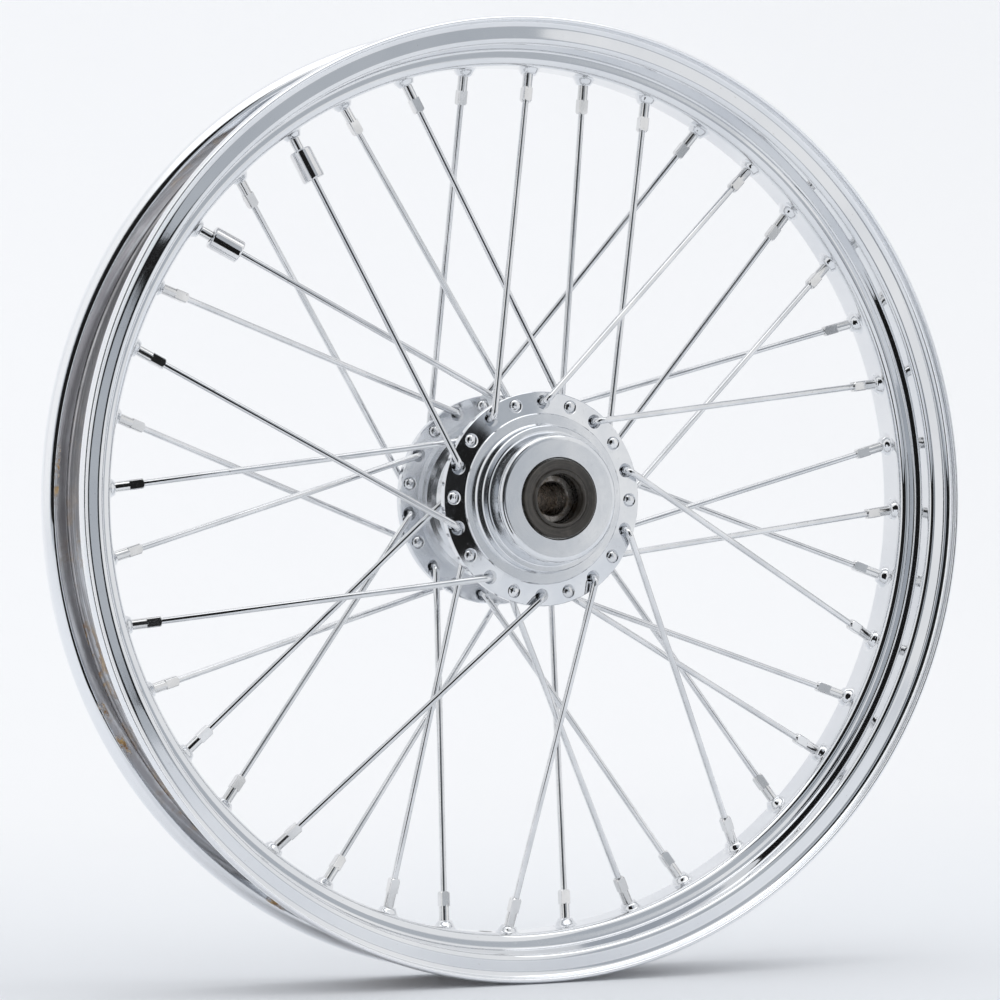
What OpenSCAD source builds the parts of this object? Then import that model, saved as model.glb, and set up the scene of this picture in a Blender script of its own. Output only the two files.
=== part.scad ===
// Laced motorcycle front wheel, without its tyre and axle.
// A drop-centre steel rim hangs on forty bent spokes from a flanged hub with a stepped nose.
// The hub turns on two sealed ball bearings, kept apart by a spacer tube around the axle.
//
// Frame: millimetres, +Z up. The origin is on the spin axis, in the middle of the rim.
// The spin axis runs along Y. The nose is at the front, -Y; the brake disc mounts at the rear, +Y.
// Angles around the wheel start at the top and run clockwise as seen from the front.

/* [Rim] */
// Diameter over the lips
rim_od = 563; // [550:1:580]
// Width over the lips
rim_width = 75.6; // [73:0.2:77]
// Outside radius of the rolled lips
lip_r = 6.6; // [6:0.1:7.2]
// Clear width between the two flanges, where the tyre beads sit
bead_width = 54.6; // [53:0.2:56]
// Diameter of the seats that carry the tyre beads
bead_seat_d = 534.9; // [530:0.1:538]
// Diameter of the well's inner face, which the spokes reach
well_d = 509.6; // [500:0.2:516]
// Width of the flat bottom of the well
well_flat = 15; // [12:0.5:18]
// Thickness of the rolled steel
rim_wall = 2.2; // [1.8:0.1:2.6]
// Diameter of the hole for the tyre valve
valve_hole_d = 8.4; // [6:0.1:10]

/* [Lacing] */
// Diameter of the spoke wire
spoke_d = 3.8; // [3.2:0.1:4]
// Angle that a spoke covers between its hub hole and its rim hole
spoke_sweep = 36; // [34:0.5:38]
// Turn of the rim's drilling against the hub's drilling
rim_turn = 0.9; // [-1:0.1:2]
// Angle of the hub's first hole from the top
hub_turn = 0.5; // [-2:0.1:2]
// Distance of each row of rim holes from the middle of the rim
row_offset = 3; // [1:0.5:5]
// Height of the raised boss around each rim hole
boss_height = 4.4; // [3:0.1:5]
// Radius of the bend behind a spoke's head
bend_r = 4; // [3.6:0.1:5]
// Length of a nipple outside the rim
nipple_length = 16.5; // [14:0.5:20]

/* [Hub] */
// Diameter of the spoke flanges
flange_d = 125; // [122:0.5:130]
// Thickness of the spoke flanges
flange_t = 5; // [4.5:0.5:6]
// Diameter of the circle of spoke holes
hole_circle_d = 113.4; // [110:0.2:116]
// Distance of the front flange's outer face from the middle of the rim
front_flange = 36; // [34:0.5:40]
// Lean of the front flange's outer face, in degrees
flange_lean = 4.5; // [0:0.5:6]
// Distance of the rear flange's outer face from the middle of the rim
rear_flange = 34; // [32:0.5:38]
// Diameter of the low step on the front flange
step_d = 99.8; // [96:0.2:104]
// Diameter of the flat face at the end of the nose
nose_face_d = 68; // [64:0.5:72]
// Height of the nose above the front flange
nose_height = 22.8; // [20:0.2:26]
// Diameter of the hub between the flanges, at its waist
waist_d = 66; // [60:1:72]

/* [Axle and bearings] */
// Diameter of the bore that the axle passes through
axle_bore_d = 19.12; // [19.1:0.01:19.2]
// Outside diameter of the bearings and of the seals
bearing_od = 47; // [47:0.1:47.2]
// Width of a bearing
bearing_w = 14; // [12:0.5:15]
// Diameter of a bearing ball
ball_d = 7.94; // [7:0.01:8]
// Number of balls in a bearing
ball_count = 8; // [6:1:8]
// Inside diameter of the oil seals' lips
seal_lip_d = 28.5; // [26:0.1:30]
// Height of the oil seals above the ends of the hub
seal_height = 2.2; // [0:0.1:3]

/* [Brake side] */
// Diameter of the circle of disc screws
rotor_circle_d = 82.55; // [80:0.05:86]
// Number of disc screws
rotor_screws = 5; // [3:1:6]
// Diameter of the threaded holes for the disc screws
rotor_hole_d = 6.6; // [6:0.1:8]

/* [Balance weights] */
// Diameter of a balance weight
weight_d = 13.4; // [12:0.2:15]
// Length of a balance weight
weight_length = 19; // [16:0.5:22]

/* [Hidden] */
kinds = ["front_outer", "front_inner", "rear_outer", "rear_inner"];
per_kind = 10;
function two_digits(n) = str(n < 10 ? "0" : "", n);
function spoke_name(kind, i) = str(kinds[kind], "_spoke_", two_digits(i + 1));
spoke_names = [for (kind = [0:3]) for (i = [0:per_kind - 1]) spoke_name(kind, i)];

$fn = 96;
slip = 0.05;                       // gap between two pieces that only touch

// Rim section
flange_y = bead_width / 2;         // tyre side of a flange
lip_y = flange_y + lip_r;          // centre of the rolled lip
lip_c = rim_od / 2 - lip_r;
lip_middle_r = lip_r - rim_wall / 2;
lip_end = asin((rim_width / 2 - rim_wall / 2 - lip_y) / lip_middle_r);
seat_r = bead_seat_d / 2;
well_r = well_d / 2;
well_y = well_flat / 2;
seat_taper = 1.1;                  // drop of a bead seat towards the well
well_corner = 5;
wall_lean = 5;                     // lean of the well's walls, in degrees
wall_fillet = 2.5;                 // between a wall and the underside of a bead seat
seat_lean = 6;                     // lean of a bead seat where it leaves the wall
seat_corner = 1.6;

// Lacing
seat_point_r = well_r - boss_height;
boss_top_r = 4.7;
boss_base_r = 7.9;
boss_depth = 6.4;                  // from a boss's top to where its cone ends inside the wall
cup_r = 3.8;                       // hollow behind a boss, where the nipple's head sits
cup_slope = 0.5;
boss_wall = 2;
nipple_r = 3;
nipple_flats = 5.8;
nipple_round = 8;                  // round length of a nipple, next to the rim
nipple_head_r = 4.4;
spoke_r = spoke_d / 2;
elbow_r = spoke_r + 0.05;          // the wire is a little thicker in the bend
bend_lap = 0.3;                    // length of wire inside each end of the bend
thread_bore_r = spoke_r + slip;
thread_end = 3.5;                  // spoke's end beyond the top of the boss
bend_inset = 0.5;                  // start of the bend below the flange's face
hub_hole_r = spoke_r + 0.25;
sink_r = 4.15;                     // countersinks of the hub's spoke holes
head_r = 3.5;
head_dome_r = 4.6;
head_inset = sink_r - head_r - slip;

// Hub
hole_circle_r = hole_circle_d / 2;
nose_y = -front_flange - nose_height;
step_height = 1.7;
shelf_height = 9.5;                // middle step of the nose
shelf_r = 42.6;
neck_r = 38.6;                     // nose above the middle step
fillet_r = 51;                     // where the waist's fillets meet the flanges
edge = 0.6;                        // chamfer on turned edges
flange_edge = 0.4;
rotor_face_y = 50;
rotor_seat_r = 50;
pilot_r = 28;
hub_end_y = 53;
rotor_hole_depth = 15;
bore_r = bearing_od / 2;
shoulder_r = 20;

// Bearings
axle_r = axle_bore_d / 2;
front_bearing_y = nose_y + 9.5;    // outer face of the front bearing
rear_bearing_y = hub_end_y - 10.5; // outer face of the rear bearing
ball_pitch_r = 16.75;
groove_r = ball_d / 2 + 0.13;
inner_land_r = 14.1;
outer_land_r = 19.7;
shield_t = 1;
shield_seat_r = 20.6;
race_edge = 0.8;
seal_w = 7;                        // depth of a seal inside the hub
seal_top_r = 22.8;                 // part of a seal that stands above the hub
seal_edge = 0.6;

function arc(c, r, from, to, steps) =
    [for (i = [0:steps]) c + r * [cos(from + (to - from) * i / steps), sin(from + (to - from) * i / steps)]];
function last(list) = list[len(list) - 1];

// ---- Rim ----

// Half of the rim's section as [radius, y], from the well's inner face out to the lip and back
// along the tyre's side.
function rim_half_section() =
    let (
        t = rim_wall,
        under_seat = seat_r - t,
        well_centre = [well_r + well_corner, well_y],
        skin_well = arc(well_centre, well_corner, 180, 90 + wall_lean, 10),
        fillet_c = under_seat - seat_taper - wall_fillet * cos(seat_lean),
        fillet_y = last(skin_well)[1] + (fillet_c - last(skin_well)[0]) * tan(wall_lean)
            + wall_fillet / cos(wall_lean),
        fillet = [fillet_c, fillet_y],
        corner = [seat_r + seat_corner, flange_y - seat_corner],
        lip = [lip_c, lip_y],
        lip_tip = lip + lip_middle_r * [cos(lip_end), sin(lip_end)]
    )
    concat(
        skin_well,
        arc(fillet, wall_fillet, wall_lean - 90, -seat_lean, 8),
        arc(corner, seat_corner + t, 180, 90, 8),
        arc(lip, lip_r - t, -90, lip_end, 12),
        arc(lip_tip, t / 2, lip_end + 150, lip_end + 30, 4),
        arc(lip, lip_r, lip_end, -90, 14),
        arc(corner, seat_corner, 90, 180, 6),
        arc(fillet, wall_fillet + t, -seat_lean, wall_lean - 90, 8),
        arc(well_centre, well_corner - t, 90 + wall_lean, 180, 6));

module rim_ring() {
    half = rim_half_section();
    n = len(half);
    section = concat(half, [for (i = [n - 1:-1:0]) [half[i][0], -half[i][1]]]);
    rotate([-90, 0, 0]) rotate_extrude($fn = 360) polygon(section);
}

// ---- Places of the spokes ----

function is_front(kind) = kind < 2;
function is_outer(kind) = kind % 2 == 0;
// Flange faces: where a spoke leaves the flange, and the direction it travels through it
function travel(kind) = (is_front(kind) ? 1 : -1) * (is_outer(kind) ? -1 : 1);
function exit_face(kind) =
    is_front(kind) ? (is_outer(kind) ? -front_flange : -front_flange + flange_t)
                   : (is_outer(kind) ? rear_flange : rear_flange - flange_t);
function bend_y(kind) = exit_face(kind) - travel(kind) * bend_inset;
// Angle of a spoke's hub hole and of its rim hole
hole_step = 360 / per_kind;
function hub_angle(kind, i) =
    hub_turn + hole_step * (i + [0, 1 / 2, 3 / 4, 1 / 4][kind]);
function rim_angle(kind, i) =
    hub_angle(kind, i) + rim_turn + (is_outer(kind) ? spoke_sweep : -spoke_sweep);
function on_wheel(r, angle, y) = [r * sin(angle), y, r * cos(angle)];
function hub_point(kind, i) = on_wheel(hole_circle_r, hub_angle(kind, i), bend_y(kind));
function rim_point(kind, i) =
    on_wheel(seat_point_r, rim_angle(kind, i), is_front(kind) ? -row_offset : row_offset);
// A spoke lies in a plane through its hub hole's axis: "run" is its reach in that plane,
// "rise" its way along the axis, and "bend" the angle of its bend.
function run_vector(kind) = rim_point(kind, 0) - hub_point(kind, 0);
function run(kind) = norm([run_vector(kind)[0], run_vector(kind)[2]]) - bend_r;
function rise(kind) = travel(kind) * run_vector(kind)[1];
function bend(kind) =
    atan2(run(kind), rise(kind)) + asin(bend_r / norm([run(kind), rise(kind)]));
function straight(kind) = sqrt(pow(run(kind), 2) + pow(rise(kind), 2) - pow(bend_r, 2));
function heading(kind, i) =
    let (v = rim_point(kind, i) - hub_point(kind, i)) atan2(v[0], v[2]);

// Children in a spoke's own frame: shank along +Y up to the bend at the origin, wire towards +Z
module at_bend(kind, i) {
    translate(hub_point(kind, i)) rotate([0, heading(kind, i), 0])
        scale_y(travel(kind)) children();
}
module scale_y(direction) {
    if (direction < 0) mirror([0, 1, 0]) children();
    else children();
}
// Children along the straight wire, +Z towards the rim, with the origin where the bend ends
module along_wire(kind, i) {
    at_bend(kind, i)
        translate([0, bend_r * sin(bend(kind)), bend_r * (1 - cos(bend(kind)))])
            rotate([bend(kind) - 90, 0, 0]) children();
}
// The same, with the origin at the top of the spoke's boss in the rim
module at_boss(kind, i) {
    along_wire(kind, i) translate([0, 0, straight(kind)]) children();
}

// ---- Rim with its bosses and holes ----

valve_angle = hub_turn + 184;
module rim() {
    color("gainsboro") difference() {
        union() {
            rim_ring();
            for (kind = [0:3]) for (i = [0:per_kind - 1]) at_boss(kind, i)
                cylinder(r1 = boss_top_r, r2 = boss_base_r, h = boss_depth, $fn = 48);
        }
        for (kind = [0:3]) for (i = [0:per_kind - 1]) at_boss(kind, i) {
            translate([0, 0, boss_wall])
                cylinder(r1 = cup_r, r2 = cup_r + cup_slope * boss_depth, h = boss_depth, $fn = 48);
            translate([0, 0, -1]) cylinder(r = nipple_r + 0.15, h = boss_wall + 2, $fn = 48);
        }
        rotate([0, valve_angle, 0]) translate([0, 0, well_r - 2])
            cylinder(d = valve_hole_d, h = rim_wall + 6, $fn = 48);
    }
}

// ---- Spokes and nipples ----

module spoke(kind, i) {
    head_y = bend_inset - flange_t + head_inset;  // widest place of the head, in its countersink
    dome = sqrt(pow(head_dome_r, 2) - pow(head_r, 2));
    dome_end = asin(head_r / head_dome_r);
    color("silver") {
        at_bend(kind, i) {
            rotate([-90, 0, 0]) rotate_extrude($fn = 64) polygon(concat(
                [for (p = arc([0, 0], head_dome_r, 0, dome_end, 6)) [p[1], head_y + dome - p[0]]],
                [[spoke_r, head_y + head_r - spoke_r], [spoke_r, bend_lap], [0, bend_lap]]));
            translate([0, 0, bend_r]) rotate([0, 90, 0]) rotate_extrude(angle = bend(kind))
                translate([bend_r, 0]) circle(r = elbow_r, $fn = 48);
        }
        along_wire(kind, i) translate([0, 0, -bend_lap])
            cylinder(r = spoke_r, h = bend_lap + straight(kind) + thread_end, $fn = 48);
    }
}

module nipple() {
    head_base = boss_wall + 0.4;
    difference() {
        union() {
            intersection() {
                translate([-nipple_flats / 2, -nipple_flats / 2, -nipple_length])
                    cube([nipple_flats, nipple_flats, nipple_length - nipple_round]);
                translate([0, 0, -nipple_length]) cylinder(r1 = 2.9, r2 = 3.7, h = 1, $fn = 48);
            }
            intersection() {
                translate([-nipple_flats / 2, -nipple_flats / 2, -nipple_length + 1])
                    cube([nipple_flats, nipple_flats, nipple_length - nipple_round - 1]);
                translate([0, 0, -nipple_length + 1]) cylinder(r = 3.7, h = nipple_length, $fn = 48);
            }
            translate([0, 0, -nipple_round - 0.5])
                cylinder(r = nipple_r, h = nipple_round + 0.5 + head_base, $fn = 48);
            translate([0, 0, head_base - 0.01])
                cylinder(r1 = nipple_r, r2 = nipple_head_r, h = nipple_head_r - nipple_r, $fn = 48);
            translate([0, 0, head_base + nipple_head_r - nipple_r - 0.02])
                cylinder(r = nipple_head_r, h = 1.2, $fn = 48);
        }
        translate([0, 0, -nipple_length - 1])
            cylinder(r = thread_bore_r, h = nipple_length + 12, $fn = 48);
        translate([-0.6, -nipple_head_r - 1, thread_end + 0.4])
            cube([1.2, 2 * nipple_head_r + 2, 4]);
    }
}
module front_nipples() {
    color("whitesmoke") for (kind = [0:1]) for (i = [0:per_kind - 1]) at_boss(kind, i) nipple();
}
module rear_nipples() {
    color("whitesmoke") for (kind = [2:3]) for (i = [0:per_kind - 1]) at_boss(kind, i) nipple();
}

// ---- Hub ----

// The front flange's outer face is a very flat cone
function front_face(r) = -front_flange + (r - hole_circle_r) * tan(flange_lean);
// Outside of the hub as [radius, y], from the nose's mouth round to the rear mouth
function hub_outside() =
    let (
        shelf_y = -front_flange - shelf_height,
        step_y = -front_flange - step_height,
        front_in = -front_flange + flange_t,
        rear_in = rear_flange - flange_t,
        waist_r = waist_d / 2,
        sweep = fillet_r - waist_r,
        nose_round = 3.4,
        rim_side = flange_d / 2 - flange_edge
    )
    concat(
        [[bore_r, nose_y + edge], [bore_r + edge, nose_y]],
        arc([nose_face_d / 2, nose_y + nose_round], nose_round, -90, 0, 8),
        [[neck_r, shelf_y - 1], [neck_r + 0.3, shelf_y - 0.3], [neck_r + 1, shelf_y]],
        [[shelf_r - edge, shelf_y], [shelf_r, shelf_y + edge]],
        [[shelf_r + 0.4, step_y - 0.8], [shelf_r + 1.2, step_y]],
        [[step_d / 2 - edge, step_y], [step_d / 2, step_y + edge], [step_d / 2, front_face(step_d / 2)]],
        [[rim_side, front_face(rim_side)], [flange_d / 2, front_face(rim_side) + flange_edge]],
        [[flange_d / 2, front_in - edge], [flange_d / 2 - edge, front_in]],
        arc([fillet_r, front_in + sweep], sweep, 270, 180, 10),
        arc([fillet_r, rear_in - sweep], sweep, 180, 90, 10),
        [[flange_d / 2 - edge, rear_in], [flange_d / 2, rear_in + edge]],
        [[flange_d / 2, rear_flange - edge], [flange_d / 2 - edge, rear_flange]],
        [[rotor_seat_r + 1.5, rear_flange], [rotor_seat_r, rear_flange + 1.5]],
        [[rotor_seat_r, rotor_face_y - edge], [rotor_seat_r - edge, rotor_face_y]],
        [[pilot_r, rotor_face_y], [pilot_r, hub_end_y - edge], [pilot_r - edge, hub_end_y]],
        [[bore_r + edge, hub_end_y], [bore_r, hub_end_y - edge]]
    );
function hub_inside() = [
    [bore_r, rear_bearing_y - bearing_w], [shoulder_r, rear_bearing_y - bearing_w],
    [shoulder_r, front_bearing_y + bearing_w], [bore_r, front_bearing_y + bearing_w]
];

module spoke_hole(kind, i) {
    at_bend(kind, i) translate([0, bend_inset, 0]) rotate([90, 0, 0]) {
        translate([0, 0, -0.7]) cylinder(r = hub_hole_r, h = flange_t + 1.4, $fn = 48);
        past = 0.6;
        sink_depth = sink_r - hub_hole_r;
        translate([0, 0, -past])
            cylinder(r1 = sink_r + past, r2 = hub_hole_r, h = sink_depth + past, $fn = 48);
        translate([0, 0, flange_t - sink_depth])
            cylinder(r1 = hub_hole_r, r2 = sink_r + past, h = sink_depth + past, $fn = 48);
    }
}

module hub_shell() {
    color("lightgray") difference() {
        rotate([-90, 0, 0]) rotate_extrude($fn = 180) polygon(concat(hub_outside(), hub_inside()));
        for (kind = [0:3]) for (i = [0:per_kind - 1]) spoke_hole(kind, i);
        for (i = [0:rotor_screws - 1]) rotate([0, 360 / rotor_screws * i, 0])
            translate([0, rotor_face_y + 1, rotor_circle_d / 2]) rotate([90, 0, 0])
                cylinder(d = rotor_hole_d, h = rotor_hole_depth + 1, $fn = 48);
    }
}

// ---- Bearings, spacer and seals ----

// A ring around the spin axis between two radii and two places along Y
module ring(inner, outer, y0, y1) {
    translate([0, y0, 0]) rotate([-90, 0, 0]) difference() {
        cylinder(r = outer, h = y1 - y0);
        translate([0, 0, -1]) cylinder(r = inner, h = y1 - y0 + 2);
    }
}
// Children at the outer face of a bearing, with +Y into the hub
module at_bearing(front) {
    if (front) translate([0, front_bearing_y, 0]) children();
    else translate([0, rear_bearing_y, 0]) mirror([0, 1, 0]) children();
}
module ball_track() {
    translate([0, bearing_w / 2, 0]) rotate([-90, 0, 0])
        rotate_extrude() translate([ball_pitch_r, 0]) circle(r = groove_r, $fn = 64);
}
module outer_race(front) {
    color("slategray") at_bearing(front) difference() {
        ring(outer_land_r, bore_r - slip / 2, 0, bearing_w);
        ball_track();
        ring(1, shield_seat_r, -1, shield_t + 0.3);
        ring(1, shield_seat_r, bearing_w - shield_t - 0.3, bearing_w + 1);
    }
}
module inner_race(front) {
    color("darkgray") at_bearing(front) difference() {
        rotate([-90, 0, 0]) rotate_extrude() polygon([
            [axle_r, race_edge], [axle_r + race_edge, 0],
            [inner_land_r - race_edge, 0], [inner_land_r, race_edge],
            [inner_land_r, bearing_w - race_edge], [inner_land_r - race_edge, bearing_w],
            [axle_r, bearing_w]]);
        ball_track();
    }
}
module bearing_balls(front) {
    color("lightsteelblue") at_bearing(front)
        for (i = [0:ball_count - 1]) rotate([0, 360 / ball_count * i, 0])
            translate([0, bearing_w / 2, ball_pitch_r]) sphere(d = ball_d, $fn = 64);
}
module bearing_cage(front) {
    color("goldenrod") at_bearing(front) difference() {
        ring(ball_pitch_r - 1.2, ball_pitch_r + 1.2, bearing_w / 2 - 4.7, bearing_w / 2 + 4.7);
        for (i = [0:ball_count - 1]) rotate([0, 360 / ball_count * i, 0])
            translate([0, bearing_w / 2, ball_pitch_r]) sphere(r = groove_r, $fn = 64);
    }
}
module bearing_shields(front) {
    color("dimgray") at_bearing(front) {
        ring(inner_land_r + 0.15, shield_seat_r - slip, 0.2, 0.2 + shield_t);
        ring(inner_land_r + 0.15, shield_seat_r - slip, bearing_w - 0.2 - shield_t, bearing_w - 0.2);
    }
}
// Rubber seal with a stiff outer band, a face that stands proud and a lip that wipes the axle's collar
module oil_seal(front) {
    mouth = front ? nose_y : hub_end_y;
    lip = seal_lip_d / 2;
    band = bore_r - slip / 2;
    top = -seal_height;
    color("darkslategray") translate([0, mouth, 0]) scale_y(front ? 1 : -1)
        rotate([-90, 0, 0]) rotate_extrude() polygon([
            [seal_top_r - seal_edge, top], [seal_top_r, top + seal_edge],
            [seal_top_r, 1.2], [band, 1.9], [band, seal_w], [band - 2, seal_w], [band - 2, top + 2.6],
            [lip + 3.4, top + 2.6], [lip + 2.6, seal_w - 0.6], [lip + 0.4, seal_w - 1.6],
            [lip, top + 2.4], [lip + 0.5, top + 0.5], [lip + 1.4, top],
            [lip + 2.2, top + 0.2], [lip + 2.7, top + 1], [lip + 3.4, top + 0.7]]);
}
module axle_spacer_tube() {
    color("gray") ring(axle_r, axle_r + 3.2, front_bearing_y + bearing_w, rear_bearing_y - bearing_w);
}

// ---- Balance weights ----

weight_start = 6.8;                // from the top of the boss to the weight
weight_round = 1.2;
weight_screw_r = 2;
weight_screw_z = -weight_start - weight_length + 5;
// The weights sit on these two spokes, given as [kind, number]
upper_spoke = [0, 8];
lower_spoke = [1, 9];

module weight_body() {
    difference() {
        rotate_extrude() polygon(concat(
            [[0, -weight_start - weight_length]],
            arc([weight_d / 2 - weight_round, -weight_start - weight_length + weight_round],
                weight_round, -90, 0, 6),
            arc([weight_d / 2 - weight_round, -weight_start - weight_round], weight_round, 0, 90, 6),
            [[0, -weight_start]]));
        translate([0, 0, -weight_start - weight_length - 1])
            cylinder(r = thread_bore_r, h = weight_length + 2, $fn = 48);
        translate([0, 0, -nipple_length - slip])
            cylinder(r = 3.75, h = nipple_length, $fn = 48);
        translate([-thread_bore_r, 0, -weight_start - weight_length - 1])
            cube([2 * thread_bore_r, weight_d, weight_length + 2]);
        translate([0, 0, weight_screw_z]) rotate([0, 90, 0])
            cylinder(r = weight_screw_r, h = weight_d, $fn = 48);
    }
}
module weight_place(place) {
    at_boss(place[0], place[1]) scale_y(travel(place[0])) children();
}
module upper_balance_weight() { color("silver") weight_place(upper_spoke) weight_body(); }
module lower_balance_weight() { color("silver") weight_place(lower_spoke) weight_body(); }
module balance_weight_screws() {
    tip = spoke_r + slip;
    color("dimgray") for (place = [upper_spoke, lower_spoke]) weight_place(place)
        translate([0, 0, weight_screw_z]) rotate([0, 90, 0]) translate([0, 0, tip]) difference() {
            cylinder(r = weight_screw_r - slip, h = weight_d / 2 - tip - 0.3, $fn = 48);
            translate([0, 0, 1.8]) cylinder(r = 1.1, h = weight_d, $fn = 6);
        }
}

// ---- Nodes ----

rim();
hub_shell();
front_nipples();
rear_nipples();
oil_seal(true);  // front_oil_seal
outer_race(true);  // front_bearing_outer_race
inner_race(true);  // front_bearing_inner_race
bearing_balls(true);  // front_bearing_balls
bearing_cage(true);  // front_bearing_cage
bearing_shields(true);  // front_bearing_shields
oil_seal(false);  // rear_oil_seal
outer_race(false);  // rear_bearing_outer_race
inner_race(false);  // rear_bearing_inner_race
bearing_balls(false);  // rear_bearing_balls
bearing_cage(false);  // rear_bearing_cage
bearing_shields(false);  // rear_bearing_shields
axle_spacer_tube();
upper_balance_weight();
lower_balance_weight();
balance_weight_screws();
for (kind = [0:3]) for (i = [0:per_kind - 1])
    spoke(kind, i);
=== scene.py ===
import math
import bmesh
import bpy
import numpy as np
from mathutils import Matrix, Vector


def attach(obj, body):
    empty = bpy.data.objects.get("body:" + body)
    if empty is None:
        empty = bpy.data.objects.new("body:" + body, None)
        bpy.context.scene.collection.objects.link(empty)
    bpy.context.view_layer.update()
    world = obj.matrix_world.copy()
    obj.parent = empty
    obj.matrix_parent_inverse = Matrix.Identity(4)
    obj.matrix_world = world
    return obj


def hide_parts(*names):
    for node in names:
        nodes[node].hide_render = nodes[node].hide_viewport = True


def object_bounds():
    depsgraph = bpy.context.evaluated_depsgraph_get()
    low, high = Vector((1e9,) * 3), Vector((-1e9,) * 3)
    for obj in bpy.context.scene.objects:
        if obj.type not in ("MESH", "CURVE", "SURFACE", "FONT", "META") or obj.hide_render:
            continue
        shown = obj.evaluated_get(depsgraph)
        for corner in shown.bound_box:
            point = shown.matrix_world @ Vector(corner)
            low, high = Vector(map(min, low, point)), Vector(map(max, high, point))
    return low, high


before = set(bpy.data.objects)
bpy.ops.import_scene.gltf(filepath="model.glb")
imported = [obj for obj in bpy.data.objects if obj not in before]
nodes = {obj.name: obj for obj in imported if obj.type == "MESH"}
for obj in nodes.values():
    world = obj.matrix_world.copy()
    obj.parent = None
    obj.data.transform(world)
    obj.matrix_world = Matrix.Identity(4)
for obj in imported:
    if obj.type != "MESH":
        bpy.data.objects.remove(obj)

cad_lo, cad_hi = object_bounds()
MM = 0.001

# ---------------------------------------------------------------- camera

CAMERA_PLACE, CAMERA_AIM = (-24.80, -0.436), (-24.557, -0.426)  # azimuth and elevation, in degrees
CAMERA_DISTANCE = 2.3


def on_sphere(azimuth, elevation):
    """Unit vector towards an azimuth and elevation. Azimuth 0 is -Y, 90 is +X."""
    a, e = math.radians(azimuth), math.radians(elevation)
    return Vector((math.sin(a) * math.cos(e), -math.cos(a) * math.cos(e), math.sin(e)))


cam_data = bpy.data.cameras.new("camera")
cam_data.sensor_width = 36.0
cam_data.lens = 140.3
cam_data.clip_end = 50.0
cam = bpy.data.objects.new("camera", cam_data)
bpy.context.scene.collection.objects.link(cam)
cam.location = on_sphere(*CAMERA_PLACE) * CAMERA_DISTANCE
cam.rotation_mode = "QUATERNION"
cam.rotation_quaternion = (-on_sphere(*CAMERA_AIM)).to_track_quat("-Z", "Y")
bpy.context.scene.camera = cam
bpy.context.scene.view_settings.view_transform = "Standard"

# ---------------------------------------------------------------- materials


class Shader:
    """Builds one node material around a Principled shader. Values may be numbers, colours or sockets."""

    def __init__(self, name):
        self.mat = bpy.data.materials.new(name)
        self.mat.use_nodes = True
        self.tree = self.mat.node_tree
        self.tree.nodes.clear()
        self.out = self.add("ShaderNodeOutputMaterial")
        self.bsdf = self.add("ShaderNodeBsdfPrincipled")
        self.link(self.bsdf.outputs[0], self.out.inputs["Surface"])
        self.coord = self.add("ShaderNodeTexCoord").outputs["Object"]

    def add(self, kind, **settings):
        n = self.tree.nodes.new(kind)
        for key, value in settings.items():
            setattr(n, key, value)
        return n

    def link(self, a, b):
        self.tree.links.new(a, b)

    def put(self, socket, value):
        if hasattr(value, "node"):
            self.link(value, socket)
        else:
            socket.default_value = value

    def base(self, **values):
        for key, value in values.items():
            self.put(self.bsdf.inputs[key.replace("_", " ")], value)

    def math(self, op, a, b=0.0, clamp=False):
        n = self.add("ShaderNodeMath", operation=op, use_clamp=clamp)
        self.put(n.inputs[0], a)
        self.put(n.inputs[1], b)
        return n.outputs[0]

    def sum(self, a, b, clamp=False):
        return self.math("ADD", a, b, clamp)

    def product(self, a, b):
        return self.math("MULTIPLY", a, b)

    def noise(self, scale, detail=3.0, rough=0.55, vector=None):
        n = self.add("ShaderNodeTexNoise")
        self.link(vector or self.coord, n.inputs["Vector"])
        n.inputs["Scale"].default_value = scale
        n.inputs["Detail"].default_value = detail
        n.inputs["Roughness"].default_value = rough
        return n.outputs["Fac"]

    def remap(self, v, lo, hi, to_lo=0.0, to_hi=1.0):
        """Smooth step from to_lo at lo to to_hi at hi. It falls instead when lo is above hi."""
        n = self.add("ShaderNodeMapRange")
        n.interpolation_type = "SMOOTHSTEP"
        for i, x in enumerate((v, lo, hi, to_lo, to_hi)):
            self.put(n.inputs[i], x)
        return n.outputs[0]

    def mix(self, fac, a, b):
        n = self.add("ShaderNodeMix", data_type="RGBA")
        self.put(n.inputs[0], fac)
        self.put(n.inputs[6], a)
        self.put(n.inputs[7], b)
        return n.outputs[2]

    def bump(self, height, distance, strength):
        n = self.add("ShaderNodeBump")
        n.inputs["Strength"].default_value = strength
        n.inputs["Distance"].default_value = distance
        self.link(height, n.inputs["Height"])
        return n.outputs[0]

    def axes(self):
        n = self.add("ShaderNodeSeparateXYZ")
        self.link(self.coord, n.inputs[0])
        return n.outputs

    def polar(self):
        """Distance from the spin axis, place along it and angle about it."""
        x, y, z = self.axes()
        r = self.math("SQRT", self.sum(self.product(x, x), self.product(z, z)))
        return r, y, self.math("ARCTAN2", x, z)

    def around(self, scale_r, scale_angle):
        """Coordinates for marks that run round the spin axis, as turning marks do."""
        r, y, angle = self.polar()
        n = self.add("ShaderNodeCombineXYZ")
        self.put(n.inputs[0], self.product(r, scale_r))
        self.put(n.inputs[1], self.product(y, scale_r))
        self.put(n.inputs[2], self.product(angle, scale_angle))
        return n.outputs[0]


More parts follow.
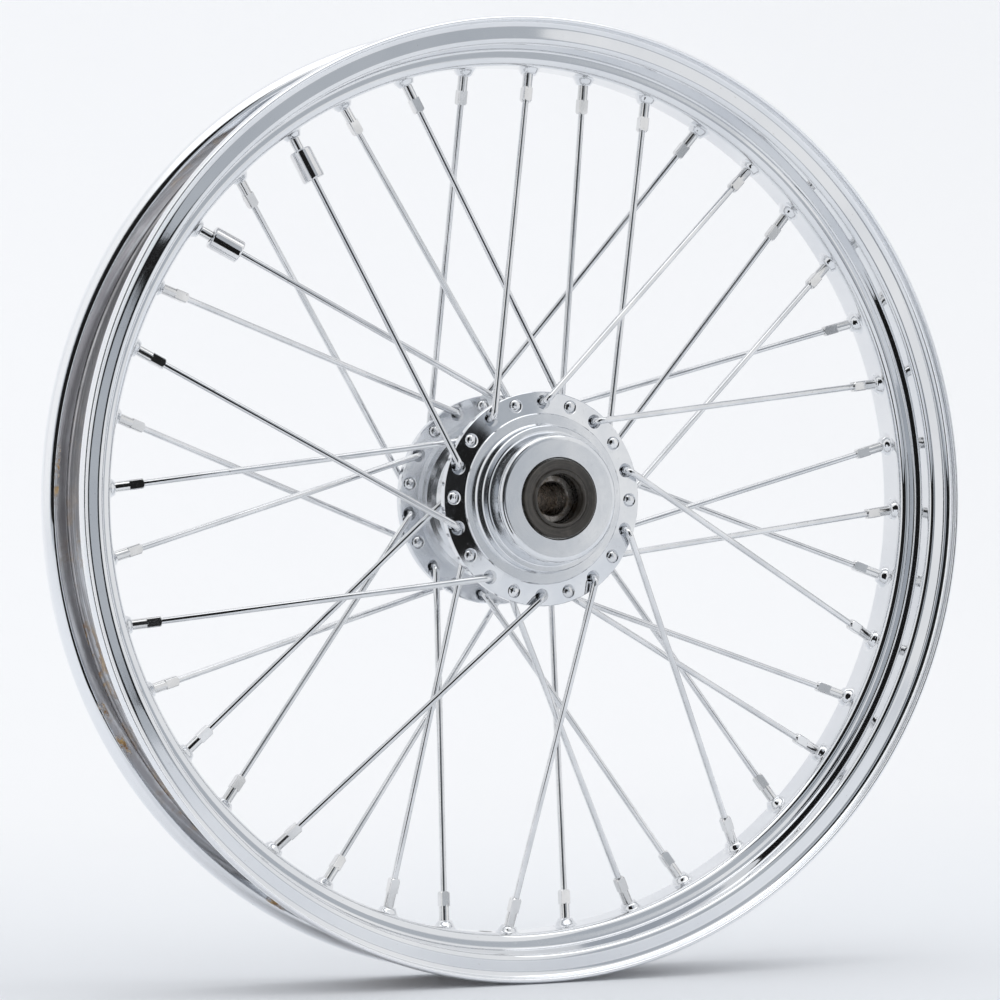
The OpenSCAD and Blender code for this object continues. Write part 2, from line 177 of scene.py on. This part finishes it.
def plated(name, light, dark, rough_lo, rough_hi, wave, scratches):
    """Bright plated or drawn metal: cloudy dullness, small pits and fine handling marks."""
    s = Shader(name)
    cloud = s.noise(38.0, 4.0)
    fine = s.noise(900.0, 2.0)
    pits = s.remap(s.noise(420.0, 2.0), 0.70, 0.76)
    tint = s.mix(s.remap(cloud, 0.35, 0.7), dark, light)
    s.base(Metallic=1.0, Base_Color=s.mix(s.product(pits, 0.35), tint, (0.30, 0.29, 0.27, 1)))
    s.base(Roughness=s.sum(s.remap(cloud, 0.3, 0.75, rough_hi, rough_lo), s.product(pits, 0.15)))
    s.base(Normal=s.bump(s.sum(s.product(fine, scratches), s.product(cloud, wave)), 0.00004, 0.5))
    return s.mat


def rust_colour(s):
    return s.mix(s.remap(s.noise(300.0, 4.0), 0.35, 0.7), (0.22, 0.11, 0.04, 1), (0.58, 0.39, 0.16, 1))


# Rust on the tyre side of the rear flange: angle from the top and half width, in radians, then radii in metres.
FLANGE_PATCHES = ((-1.52, 0.08, 0.2738, 0.2759), (-2.03, 0.030, 0.2730, 0.2765),
                  (-2.11, 0.035, 0.2722, 0.2755), (-2.60, 0.030, 0.2725, 0.2755))
PATCH_EDGE = 0.0006
FLANGE_FOOT, FLANGE_BACK = (0.0262, 0.0266), (0.0290, 0.0286)  # y where the flange's tyre side starts and ends


def flange_rust(s):
    """How rusty each point of the rear flange is, where the tyre rubbed it."""
    r, y, angle = s.polar()
    speck = s.remap(s.noise(220.0, 6.0, 0.75), 0.44, 0.56)
    wall = s.product(s.remap(y, *FLANGE_FOOT), s.remap(y, *FLANGE_BACK))
    rust = 0.0
    for place, reach, low, high in FLANGE_PATCHES:
        patch = s.remap(s.math("ABSOLUTE", s.math("SUBTRACT", angle, place)), reach, reach * 0.3)
        ring = s.product(s.remap(r, low - PATCH_EDGE, low), s.remap(r, high + PATCH_EDGE, high))
        rust = s.math("MAXIMUM", rust, s.product(patch, ring))
    return s.product(s.product(rust, wall), speck)


def chrome_rim():
    """Visible side of the rim: bright chrome with water marks and pits, duller along the rolled edge, and a
    whiter colour there as a painted light band.
    """
    s = Shader("chrome_rim")
    cloud = s.noise(14.0, 5.0)
    r, _, _ = s.polar()
    streak = s.noise(1.0, 3.0, vector=s.around(1600.0, 9.0))
    water = s.remap(s.noise(160.0, 3.0, 0.7), 0.60, 0.72)
    pits = s.remap(s.noise(700.0, 2.0), 0.73, 0.78)
    colour = s.mix(s.remap(cloud, 0.3, 0.7), (0.75, 0.765, 0.79, 1), (0.82, 0.83, 0.845, 1))
    colour = s.mix(s.product(pits, 0.5), colour, (0.34, 0.31, 0.27, 1))
    # Painted highlight: the rolled edge gets a near-white colour so that it shows as a light band.
    colour = s.mix(s.remap(r, 0.2770, 0.2785), colour, (0.93, 0.94, 0.96, 1))
    rust = flange_rust(s)
    s.base(Metallic=s.remap(rust, 0.0, 1.0, 1.0, 0.0), Base_Color=s.mix(rust, colour, rust_colour(s)))
    rough = s.sum(s.remap(cloud, 0.3, 0.75, 0.055, 0.02), s.product(water, 0.035))
    rough = s.sum(rough, s.remap(r, 0.2772, 0.2790, 0.0, 0.20))
    s.base(Roughness=s.sum(rough, s.product(rust, 0.6), clamp=True))
    s.base(Normal=s.bump(s.sum(s.product(streak, 0.10), s.product(cloud, 0.6)), 0.00005, 0.30))
    return s.mat


def channel_metal():
    """Tyre side of the rim: thinner, duller plating with grey marks and rust, and a painted near-black shade
    band in the bead seat's corner.
    """
    s = Shader("rim_channel")
    r, _, _ = s.polar()
    cloud = s.noise(26.0, 6.0, 0.62)
    bands = s.noise(1.0, 4.0, 0.6, vector=s.around(420.0, 3.0))
    marks = s.remap(s.sum(s.product(bands, 0.7), s.product(cloud, 0.3)), 0.42, 0.62)
    metal = s.mix(marks, (0.40, 0.39, 0.40, 1), (0.78, 0.78, 0.79, 1))
    # Painted shade: a near-black band in the bead seat's corner next to the flange, made patchy by noise.
    corner_shade = s.product(s.remap(r, 0.2678, 0.2688), s.remap(r, 0.2752, 0.2740))
    shade_patchiness = s.remap(s.noise(1.0, 5.0, 0.7, vector=s.around(900.0, 16.0)), 0.30, 0.72, 0.95, 0.45)
    metal = s.mix(s.product(corner_shade, shade_patchiness), metal, (0.045, 0.045, 0.048, 1))
    fleck = s.noise(95.0, 6.0, 0.7)
    where = s.noise(5.0, 2.0)
    rust = s.product(s.remap(fleck, 0.50, 0.60), s.remap(where, 0.50, 0.64))
    s.base(Metallic=s.remap(rust, 0.0, 1.0, 1.0, 0.0), Base_Color=s.mix(rust, metal, rust_colour(s)))
    s.base(Roughness=s.sum(s.remap(marks, 0.0, 1.0, 0.46, 0.28), s.product(rust, 0.5), clamp=True))
    s.base(Normal=s.bump(s.sum(s.product(fleck, 0.4), s.product(rust, 1.2)), 0.00012, 0.6))
    return s.mat


def turned_alloy():
    """Polished hub: fine turning rings and scuffs, with a satin nose face and a softer waist."""
    s = Shader("turned_alloy")
    rings = s.noise(1.0, 2.0, vector=s.around(9000.0, 1.2))
    cloud = s.noise(55.0, 4.0)
    scuffs = s.remap(s.noise(260.0, 4.0, 0.65), 0.60, 0.72)
    colour = s.mix(s.remap(cloud, 0.3, 0.72), (0.72, 0.74, 0.77, 1), (0.81, 0.82, 0.835, 1))
    s.base(Metallic=1.0, Base_Color=s.mix(s.product(scuffs, 0.2), colour, (0.55, 0.56, 0.58, 1)))
    r, y, _ = s.polar()
    nose = s.product(s.remap(r, 0.0501, 0.0495), s.remap(y, -0.034, -0.036))
    waist = s.product(s.remap(y, -0.0316, -0.0306), s.remap(r, 0.0600, 0.0560))
    rough = s.sum(s.remap(cloud, 0.3, 0.75, 0.07, 0.035), s.product(scuffs, 0.06))
    rough = s.sum(rough, s.product(nose, s.remap(rings, 0.3, 0.7, 0.04, 0.12)))
    s.base(Roughness=s.sum(rough, s.product(waist, 0.13)))
    s.base(Normal=s.bump(rings, 0.00001, 0.22))
    return s.mat


def seal_rubber():
    """Dusty black rubber with moulded rings, inside a bright steel band."""
    s = Shader("seal_rubber")
    grain = s.noise(1500.0, 3.0)
    dust = s.remap(s.noise(240.0, 5.0, 0.65), 0.48, 0.70)
    rings = s.noise(1.0, 2.0, vector=s.around(2600.0, 0.8))
    rubber = s.mix(s.remap(rings, 0.35, 0.65), (0.020, 0.018, 0.015, 1), (0.048, 0.042, 0.036, 1))
    rubber = s.mix(s.product(dust, 0.25), rubber, (0.13, 0.115, 0.095, 1))
    r, _, _ = s.polar()
    band = s.remap(r, 0.02284, 0.02292)
    s.base(Metallic=band, Base_Color=s.mix(band, rubber, (0.66, 0.65, 0.63, 1)))
    s.base(Roughness=s.math("SUBTRACT", s.remap(dust, 0.0, 1.0, 0.30, 0.58), s.product(band, 0.18)))
    s.base(Normal=s.bump(s.sum(grain, s.product(rings, 0.8)), 0.00004, 0.5))
    return s.mat


def greasy_steel(name, colour, grease):
    """Ground metal with turning rings under an uneven film of grease."""
    s = Shader(name)
    film = s.noise(180.0, 5.0, 0.6)
    rings = s.noise(1.0, 2.0, vector=s.around(5200.0, 1.0))
    s.base(Metallic=0.9, Base_Color=s.mix(s.remap(film, 0.40, 0.68), colour, grease))
    s.base(Roughness=s.sum(s.remap(film, 0.35, 0.7, 0.16, 0.40), s.product(rings, 0.06)))
    s.base(Normal=s.bump(s.sum(rings, film), 0.00002, 0.5))
    return s.mat


materials = {
    "rim": chrome_rim(),
    "hub": turned_alloy(),
    "spoke": plated("spoke_wire", (0.82, 0.825, 0.835, 1), (0.70, 0.71, 0.725, 1), 0.03, 0.10, 0.3, 0.3),
    "nipple": plated("nipple_plating", (0.84, 0.84, 0.84, 1), (0.70, 0.70, 0.70, 1), 0.06, 0.17, 0.6, 0.5),
    "weight": plated("weight_plating", (0.86, 0.86, 0.865, 1), (0.72, 0.72, 0.73, 1), 0.035, 0.10, 0.6, 0.4),
    "seal": seal_rubber(),
    # Painted shade: the bearing steel gets a dark brown colour for the shade inside the bore; the grease film
    # mixed over it is grease.
    "bearing": greasy_steel("bearing_steel", (0.30, 0.28, 0.26, 1), (0.10, 0.075, 0.05, 1)),
    "cage": greasy_steel("cage_brass", (0.70, 0.50, 0.22, 1), (0.35, 0.26, 0.13, 1)),
    "tube": greasy_steel("tube_steel", (0.20, 0.16, 0.12, 1), (0.08, 0.055, 0.035, 1)),
    "screw": greasy_steel("black_screws", (0.10, 0.10, 0.105, 1), (0.04, 0.04, 0.04, 1)),
}
# Word in a node's name, and its material. The first word that fits is used.
FINISHES = (("_spoke_", "spoke"), ("hub", "hub"), ("nipples", "nipple"), ("seal", "seal"), ("cage", "cage"),
            ("tube", "tube"), ("screws", "screw"), ("weight", "weight"), ("rim", "rim"), ("bearing", "bearing"))


for name, obj in nodes.items():
    finish = next(f for word, f in FINISHES if word in name)
    for material_slot in obj.material_slots:
        material_slot.material = materials[finish]

# ---------------------------------------------------------------- rim, with pressed bosses

# Lengths in mm and angles in degrees. "_R" is a distance from the spin axis or a radius.
WALL, SECTION_STEP, STEPS = 2.2, 1.0, 1800
WELL_R, WELL_FLAT, WELL_CORNER = 254.8, 7.5, 5.0
WALL_LEAN, WALL_FILLET = 5.0, 1.5
SEAT_R, SEAT_LEAN, SEAT_DROP, SEAT_CORNER = 267.45, 6.0, 1.1, 1.6
FLANGE_Y, LIP_R, OUTER_R, HALF_WIDTH = 27.3, 6.6, 281.5, 37.8
TIP_TURN = 12.0  # how much of the lip's round tip is left out at each end of it

# Lacing: ten spokes in each of four groups, which are front outer, front inner, rear outer and rear inner.
GROUP_PHASE, GROUP_SPOKES = (0, 0.5, 0.75, 0.25), 10
HOLE_R, FRONT_FACE, REAR_FACE, FLANGE_T = 56.7, 36.0, 34.0, 5.0
HUB_TURN, RIM_TURN, SWEEP = 0.5, 0.9, 36.0
HEAD_SET, BEND_R = 0.5, 4.0
TOP_R, ROW = 250.4, 3.0

# Bosses: pressed cones around the spoke holes, blended into the well.
BOSS_REACH, BOSS_ZONE_R, BOSS_ZONE_Y = 18.0, 262.0, 16.0
BOSS_SLOPE, BOSS_CROWN = 0.55, 0.035
BOSS_SKINS = ((False, 0.0, 4.6, 1.6), (True, WALL, 3.9, 1.4))  # tyre side or not, lift, flat radius, blend

VALVE_ANGLE, VALVE_R = 184.5, 4.2
VALVE_MARGIN, VALVE_BELOW_R = 0.25, 262.0  # slack around the hole, and a radius above the well only


def arc(cr, cy, radius, start, end, steps):
    """Points (radius, y) of a circular arc in the section, with its angles in degrees."""
    t = np.radians(np.linspace(start, end, steps + 1))
    return np.stack([cr + radius * np.cos(t), cy + radius * np.sin(t)], 1)


def dense(points, step):
    """The same line of points with none further apart than the step."""
    out = [points[0]]
    for a, b in zip(points[:-1], points[1:]):
        n = max(1, int(math.ceil(np.hypot(*(b - a)) / step)))
        out += [a + (b - a) * k / n for k in range(1, n + 1)]
    return np.array(out)


def rim_section():
    """Closed section as (radius, y), and for each point whether it is on the tyre's side."""
    well = (WELL_R + WELL_CORNER, WELL_FLAT)
    skin = arc(*well, WELL_CORNER, 180, 90 + WALL_LEAN, 14)
    lean = math.radians(WALL_LEAN)
    fillet_r = SEAT_R - WALL - SEAT_DROP - WALL_FILLET * math.cos(math.radians(SEAT_LEAN))
    fillet_y = skin[-1][1] + (fillet_r - skin[-1][0]) * math.tan(lean) + WALL_FILLET / math.cos(lean)
    fillet = (fillet_r, fillet_y)
    corner = (SEAT_R + SEAT_CORNER, FLANGE_Y - SEAT_CORNER)
    lip = (OUTER_R - LIP_R, FLANGE_Y + LIP_R)
    middle = LIP_R - WALL / 2
    end = math.asin((HALF_WIDTH - WALL / 2 - lip[1]) / middle)
    tip = (lip[0] + middle * math.cos(end), lip[1] + middle * math.sin(end))
    end = math.degrees(end)
    visible = dense(np.concatenate([
        skin,
        arc(*fillet, WALL_FILLET, WALL_LEAN - 90, -SEAT_LEAN, 14),
        arc(*corner, SEAT_CORNER + WALL, 180, 90, 16),
        arc(*lip, LIP_R - WALL, -90, end, 22),
        arc(*tip, WALL / 2, end + 180 - TIP_TURN, end + TIP_TURN, 12),
        arc(*lip, LIP_R, end, -90, 26)]), SECTION_STEP)
    tyre = dense(np.concatenate([
        arc(*corner, SEAT_CORNER, 90, 180, 8),
        arc(*fillet, WALL_FILLET + WALL, -SEAT_LEAN, WALL_LEAN - 90, 12),
        arc(*well, WELL_CORNER - WALL, 90 + WALL_LEAN, 180, 10)]), SECTION_STEP)
    half = np.concatenate([visible, tyre])
    mirror = half[::-1] * np.array([1, -1])
    # The flat of the well joins the two halves, on the tyre's side and on the visible side.
    across_tyre = dense(np.array([half[-1], mirror[0]]), SECTION_STEP)[1:-1]
    across_visible = dense(np.array([mirror[-1], half[0]]), SECTION_STEP)[1:-1]
    section = np.concatenate([half, across_tyre, mirror, across_visible])
    tyre_side = np.zeros(len(section), bool)
    tyre_side[len(visible):len(visible) + 2 * len(tyre) + len(across_tyre)] = True
    return section, tyre_side


def spoke_lines():
    """For each spoke, the top of its boss and the unit vector of its wire, towards the rim."""
    lines = []
    for group, phase in enumerate(GROUP_PHASE):
        front, outer = group < 2, group % 2 == 0
        travel = (1 if front else -1) * (-1 if outer else 1)
        face = (-FRONT_FACE if outer else FLANGE_T - FRONT_FACE) if front else (
            REAR_FACE if outer else REAR_FACE - FLANGE_T)
        bend_y = face - travel * HEAD_SET
        for i in range(GROUP_SPOKES):
            hub = math.radians(HUB_TURN + 360 / GROUP_SPOKES * (i + phase))
            rim = hub + math.radians(RIM_TURN + (SWEEP if outer else -SWEEP))
            a = np.array([HOLE_R * math.sin(hub), bend_y, HOLE_R * math.cos(hub)])
            b = np.array([TOP_R * math.sin(rim), -ROW if front else ROW, TOP_R * math.cos(rim)])
            flat = (b - a) * np.array([1, 0, 1])
            reach, rise = np.linalg.norm(flat), travel * (b - a)[1]
            bend = math.atan2(reach - BEND_R, rise) + math.asin(BEND_R / math.hypot(reach - BEND_R, rise))
            d = flat / reach * math.sin(bend) + np.array([0, travel * math.cos(bend), 0])
            lines.append((b, d / np.linalg.norm(d)))
    return lines


def smooth_min(a, b, k):
    """The smaller of a and b, rounded over where they meet."""
    h = np.clip(0.5 + 0.5 * (b - a) / k, 0, 1)
    return b + (a - b) * h - k * h * (1 - h)


def press_bosses(verts, low, skin):
    """Lifts the metal around each spoke hole into a boss that stands square to its spoke."""
    for top, d in spoke_lines():
        near = low & (((verts - top) ** 2).sum(1) < BOSS_REACH ** 2)
        for tyre_skin, lift, flat_r, blend in BOSS_SKINS:
            pick = np.nonzero(near & (skin == tyre_skin))[0]
            rel = verts[pick] - top
            w = rel @ d
            rho = np.sqrt(np.maximum((rel ** 2).sum(1) - w ** 2, 0))
            dome = lift + np.maximum(rho - flat_r, 0) / BOSS_SLOPE + BOSS_CROWN * rho ** 2
            verts[pick] += ((smooth_min(w, dome, blend) - w)[:, None]) * d


def build_rim():
    """The rim as one closed skin: the section swept round, with its bosses and its valve hole."""
    section, tyre_side = rim_section()
    n = len(section)
    angle = np.arange(STEPS) * (2 * math.pi / STEPS)
    r, y = section[:, 0][None, :], section[:, 1][None, :]
    verts = np.stack([r * np.sin(angle)[:, None], np.broadcast_to(y, (STEPS, n)),
                      r * np.cos(angle)[:, None]], 2).reshape(-1, 3)
    low = np.tile((section[:, 0] < BOSS_ZONE_R) & (np.abs(section[:, 1]) < BOSS_ZONE_Y), STEPS)
    press_bosses(verts, low, np.tile(tyre_side, STEPS))
    k = np.arange(STEPS * n)
    i, j = k // n, k % n
    i2, j2 = (i + 1) % STEPS, (j + 1) % n
    quads = np.stack([i * n + j, i * n + j2, i2 * n + j2, i2 * n + j], 1)
    hidden = tyre_side[j] & tyre_side[j2]
    mesh = bpy.data.meshes.new("laced_rim")
    mesh.vertices.add(len(verts))
    mesh.vertices.foreach_set("co", (verts * MM).ravel())
    mesh.loops.add(quads.size)
    mesh.loops.foreach_set("vertex_index", quads.ravel().astype(np.int32))
    mesh.polygons.add(len(quads))
    mesh.polygons.foreach_set("loop_start", np.arange(0, quads.size, 4, dtype=np.int32))
    mesh.polygons.foreach_set("material_index", hidden.astype(np.int32))
    mesh.materials.append(materials["rim"])
    mesh.materials.append(channel_metal())
    mesh.update(calc_edges=True)
    valve_hole(mesh)
    mesh.shade_smooth()
    obj = bpy.data.objects.new("rim_rolled_and_pressed", mesh)
    bpy.context.scene.collection.objects.link(obj)
    return obj


def valve_hole(mesh):
    """Opens the round hole for the valve through both skins and walls it."""
    a = math.radians(VALVE_ANGLE)
    out = Vector((math.sin(a), 0, math.cos(a)))
    side = Vector((math.cos(a), 0, -math.sin(a)))
    bm = bmesh.new()
    bm.from_mesh(mesh)

    def local(co):
        """Place across the hole's axis, in mm."""
        return co.dot(side) / MM, co.y / MM

    def inside_hole(co):
        return math.hypot(*local(co)) < VALVE_R + VALVE_MARGIN and 0 < co.dot(out) < VALVE_BELOW_R * MM

    dead = [f for f in bm.faces if inside_hole(f.calc_center_median())]
    bmesh.ops.delete(bm, geom=dead, context="FACES")
    edges = [e for e in bm.edges if len(e.link_faces) == 1]
    for v in {v for e in edges for v in e.verts}:
        u, w = local(v.co)
        k = (VALVE_R / math.hypot(u, w) - 1) * MM
        v.co += side * (u * k) + Vector((0, w * k, 0))
    made = bmesh.ops.bridge_loops(bm, edges=edges)
    for f in made["faces"]:
        f.material_index = 1
        f.smooth = False
    bmesh.ops.recalc_face_normals(bm, faces=bm.faces)
    bm.to_mesh(mesh)
    bm.free()


rim = build_rim()
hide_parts("rim")
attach(rim, "wheel")

# ---------------------------------------------------------------- studio

scene = bpy.context.scene
world = bpy.data.worlds.new("studio")
scene.world = world
world.use_nodes = True
sky = world.node_tree.nodes["Background"]
sky.inputs["Color"].default_value = (0.94, 0.948, 0.96, 1)
sky.inputs["Strength"].default_value = 0.96

GREY, BLACK = (0.48, 0.51, 0.55, 1), (0.012, 0.012, 0.012, 1)
FLOOR_Z = cad_lo[2] - 0.0004
# Backdrop, in metres: the floor runs from y START to y BEND, turns up over RADIUS and rises to TOP.
COVE_START, COVE_BEND, COVE_RADIUS, COVE_TOP, COVE_HALF_WIDTH = -4.0, 1.2, 1.0, 4.0, 5.0


def glow(name, colour):
    """Material of an evenly lit card."""
    mat = bpy.data.materials.new(name)
    mat.use_nodes = True
    tree = mat.node_tree
    tree.nodes.clear()
    out = tree.nodes.new("ShaderNodeOutputMaterial")
    em = tree.nodes.new("ShaderNodeEmission")
    em.inputs["Color"].default_value = colour
    em.inputs["Strength"].default_value = 1.0
    tree.links.new(em.outputs[0], out.inputs["Surface"])
    return mat


def card(name, x0, x1, y, z0, z1, colour):
    """An upright panel seen only in reflections."""
    mesh = bpy.data.meshes.new(name)
    mesh.from_pydata([(x0, y, z0), (x1, y, z0), (x1, y, z1), (x0, y, z1)], [], [(0, 1, 2, 3)])
    mesh.materials.append(glow(name, colour))
    obj = bpy.data.objects.new(name, mesh)
    scene.collection.objects.link(obj)
    obj.visible_camera = False
    obj.visible_diffuse = False
    obj.visible_shadow = False


card("grey_wall", -3.2, 1.165, -2.5, -0.28, 2.2, GREY)
card("black_flag", -2.10, -0.12, -2.2, -0.10, 2.6, BLACK)
card("low_flag", -0.46, -0.16, -0.45, -0.28, 0.36, BLACK)
card("small_flag", 0.30, 0.50, -1.60, -0.19, 0.27, BLACK)


def cove():
    """Pale floor that curves up into the backdrop."""
    line = [(COVE_START, 0.0), (COVE_BEND, 0.0)]
    line += [(COVE_BEND + COVE_RADIUS * math.sin(t), COVE_RADIUS - COVE_RADIUS * math.cos(t))
             for t in np.radians(np.arange(6, 91, 6))]
    line += [(COVE_BEND + COVE_RADIUS, COVE_TOP)]
    verts = [(x, y, FLOOR_Z + z) for y, z in line for x in (-COVE_HALF_WIDTH, COVE_HALF_WIDTH)]
    faces = [(2 * i, 2 * i + 1, 2 * i + 3, 2 * i + 2) for i in range(len(line) - 1)]
    mesh = bpy.data.meshes.new("cove")
    mesh.from_pydata(verts, [], faces)
    mesh.shade_smooth()
    mesh.materials.append(cove_paper())
    obj = bpy.data.objects.new("cove", mesh)
    scene.collection.objects.link(obj)


def cove_paper():
    """Paper with painted shade that makes it a little darker towards the viewer, clear from behind, so views
    from the back show the wheel.
    """
    s = Shader("cove_paper")
    y = s.axes()["Y"]
    paper = s.mix(s.noise(1.3, 3.0), (0.90, 0.905, 0.92, 1), (0.935, 0.94, 0.95, 1))
    # Painted shade: the floor is darker near the viewer and the wheel, and brighter towards the backdrop.
    s.base(Base_Color=s.mix(s.remap(y, -0.1, 1.5), (0.79, 0.81, 0.84, 1), paper), Roughness=0.75)
    one_sided = s.add("ShaderNodeMixShader")
    s.link(s.add("ShaderNodeNewGeometry").outputs["Backfacing"], one_sided.inputs[0])
    s.link(s.bsdf.outputs[0], one_sided.inputs[1])
    s.link(s.add("ShaderNodeBsdfTransparent").outputs[0], one_sided.inputs[2])
    s.link(one_sided.outputs[0], s.out.inputs["Surface"])
    return s.mat


cove()


def area(name, place, size, power):
    """A rectangular light that points at the wheel's centre."""
    data = bpy.data.lights.new(name, "AREA")
    data.shape = "RECTANGLE"
    data.size, data.size_y = size
    data.energy = power
    obj = bpy.data.objects.new(name, data)
    scene.collection.objects.link(obj)
    obj.location = place
    obj.rotation_mode = "QUATERNION"
    obj.rotation_quaternion = (-Vector(place)).to_track_quat("-Z", "Y")
    return obj


area("overhead", (0.0, -0.2, 2.2), (2.6, 2.2), 12)
right_bank = area("right_bank", (2.4, -1.6, 0.7), (1.6, 2.0), 8)
right_bank.visible_glossy = False
